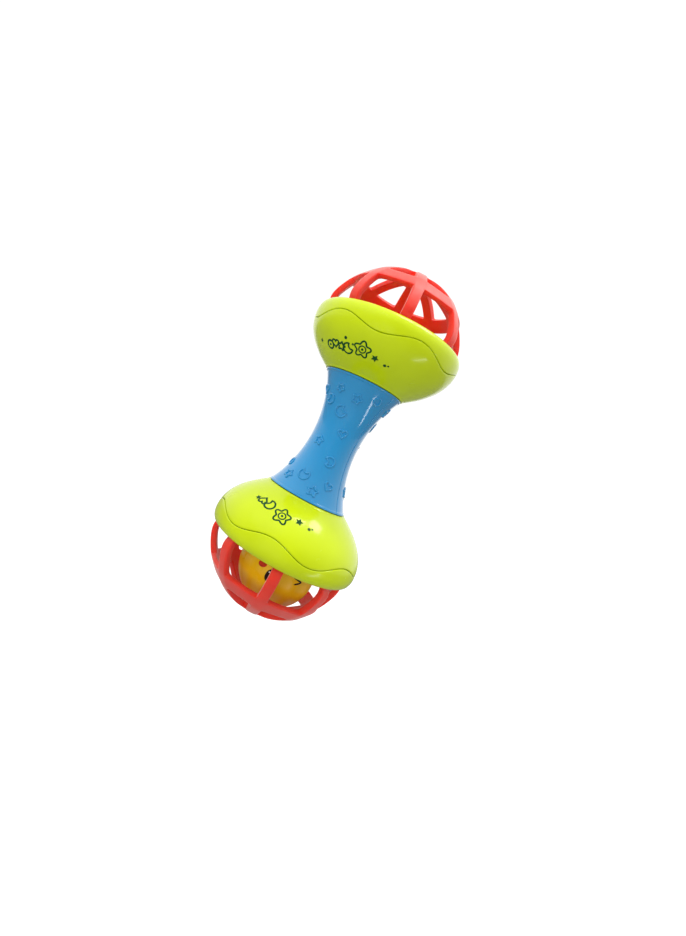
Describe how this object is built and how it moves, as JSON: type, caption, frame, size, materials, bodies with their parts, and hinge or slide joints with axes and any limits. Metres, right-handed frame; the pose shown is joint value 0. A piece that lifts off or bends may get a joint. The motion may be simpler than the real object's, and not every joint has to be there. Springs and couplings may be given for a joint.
{
  "type": "baby rattle",
  "caption": "Hand-held dumb-bell rattle: waisted handle, a bowl with a soft open cage at each end, and a loose hollow ball that rolls and slides in one cage.",
  "frame": {"origin": "centre of the grip, at the middle of the handle's waist", "axes": "+Z along the rattle's long axis, towards the empty upper cage; -Y is the side with the printed marks and the ball's face"},
  "size_m": [0.069, 0.069, 0.1684],
  "materials": {
    "blue_plastic": "glossy moulded",
    "lime_plastic": "glossy moulded",
    "red_rubber": "soft satin",
    "ball_plastic": "glossy moulded",
    "screw_steel": "zinc plated",
    "pellet_plastic": "plain"
  },
  "bodies": {
    "rattle": {"handle_shell_front": "blue_plastic", "handle_shell_rear": "blue_plastic", "handle_screw_upper": "screw_steel", "handle_screw_lower": "screw_steel", "upper_cup": "lime_plastic", "upper_collar": "lime_plastic", "upper_cage": "red_rubber", "lower_cup": "lime_plastic", "lower_collar": "lime_plastic", "lower_cage": "red_rubber"},
    "pellets": {"rattle_pellet_1": "pellet_plastic", "rattle_pellet_2": "pellet_plastic", "rattle_pellet_3": "pellet_plastic", "rattle_pellet_4": "pellet_plastic", "rattle_pellet_5": "pellet_plastic", "rattle_pellet_6": "pellet_plastic"},
    "ball": {"ball_shell_front": "ball_plastic", "ball_shell_back": "ball_plastic"}
  },
  "joints": [
    {"name": "ball_travel", "type": "slide", "parent": "rattle", "child": "pellets", "axis": [0, 0, 1], "range_m": [0, 0.0113]},
    {"name": "ball_roll", "type": "hinge", "parent": "pellets", "child": "ball", "pos_m": [0.0024, 0, -0.0621], "axis": [0, 1, 0], "continuous": true}
  ]
}
